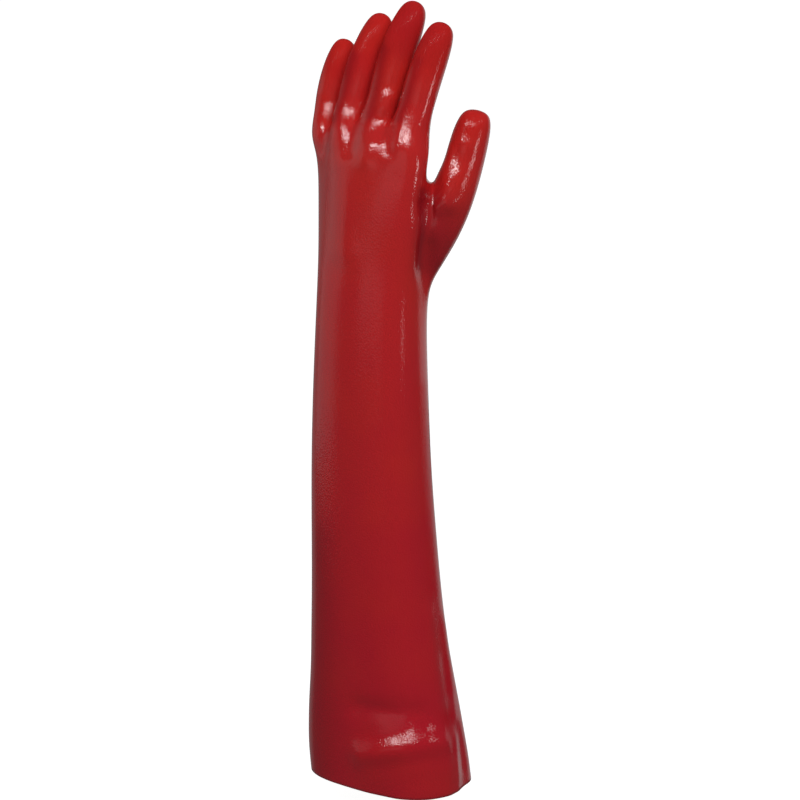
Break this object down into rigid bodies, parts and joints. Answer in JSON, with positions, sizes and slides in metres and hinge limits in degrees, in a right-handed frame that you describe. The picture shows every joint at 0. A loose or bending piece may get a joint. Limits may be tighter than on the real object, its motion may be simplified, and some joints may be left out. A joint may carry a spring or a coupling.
{
  "type": "chemical-resistant glove",
  "caption": "Long dipped gauntlet glove for the left hand, with fingers and a thumb on a sleeve that widens to an open cuff near the elbow.",
  "frame": {"origin": "middle of the cuff's opening, in the plane of its edge", "axes": "+Z from the cuff to the fingertips, -Y out of the back of the hand, +X to the thumb's side"},
  "size_m": [0.1395, 0.0911, 0.6007],
  "materials": {
    "pvc": "glossy dipped PVC over cotton jersey"
  },
  "bodies": {
    "root": {"glove_shell": "pvc"}
  },
  "joints": []
}
